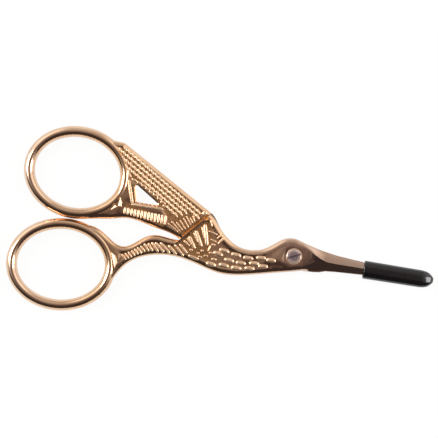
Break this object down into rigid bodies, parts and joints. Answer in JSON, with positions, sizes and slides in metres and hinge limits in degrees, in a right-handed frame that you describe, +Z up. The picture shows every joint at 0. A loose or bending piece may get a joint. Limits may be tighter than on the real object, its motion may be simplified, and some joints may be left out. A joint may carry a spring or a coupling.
{
  "type": "embroidery scissors",
  "caption": "Small bird-shaped embroidery scissors with two finger rings, slender pointed blades on a screw pivot, and a soft cap over the tips.",
  "frame": {"origin": "on the pivot axis, at the surface that the closed scissors lie on, which the screw's tail touches", "axes": "+X from the pivot to the tips along the closing line, +Y to the tail ring's side, +Z up towards the front face with the screw's head"},
  "size_m": [0.0914, 0.0402, 0.0034],
  "materials": {
    "gold_plating": "polished rose-gold plating on steel",
    "screw": "polished",
    "cap": "glossy soft vinyl"
  },
  "bodies": {
    "body": {"body_half": "gold_plating"},
    "wing": {"wing_half": "gold_plating", "pivot_screw": "screw"},
    "cap": {"tip_cap": "cap"}
  },
  "joints": [
    {"name": "blade_pivot", "type": "hinge", "parent": "body", "child": "wing", "pos_m": [0, 0, 0.0017], "axis": [0, 0, -1], "range_deg": [0, 45]},
    {"name": "cap_slide", "type": "slide", "parent": "body", "child": "cap", "axis": [0.996, -0.0899, 0], "range_m": [0, 0.1257]}
  ],
  "couplings": [
    {"joint": "cap_slide", "follows": "blade_pivot", "m_per_rad": 0.16}
  ]
}
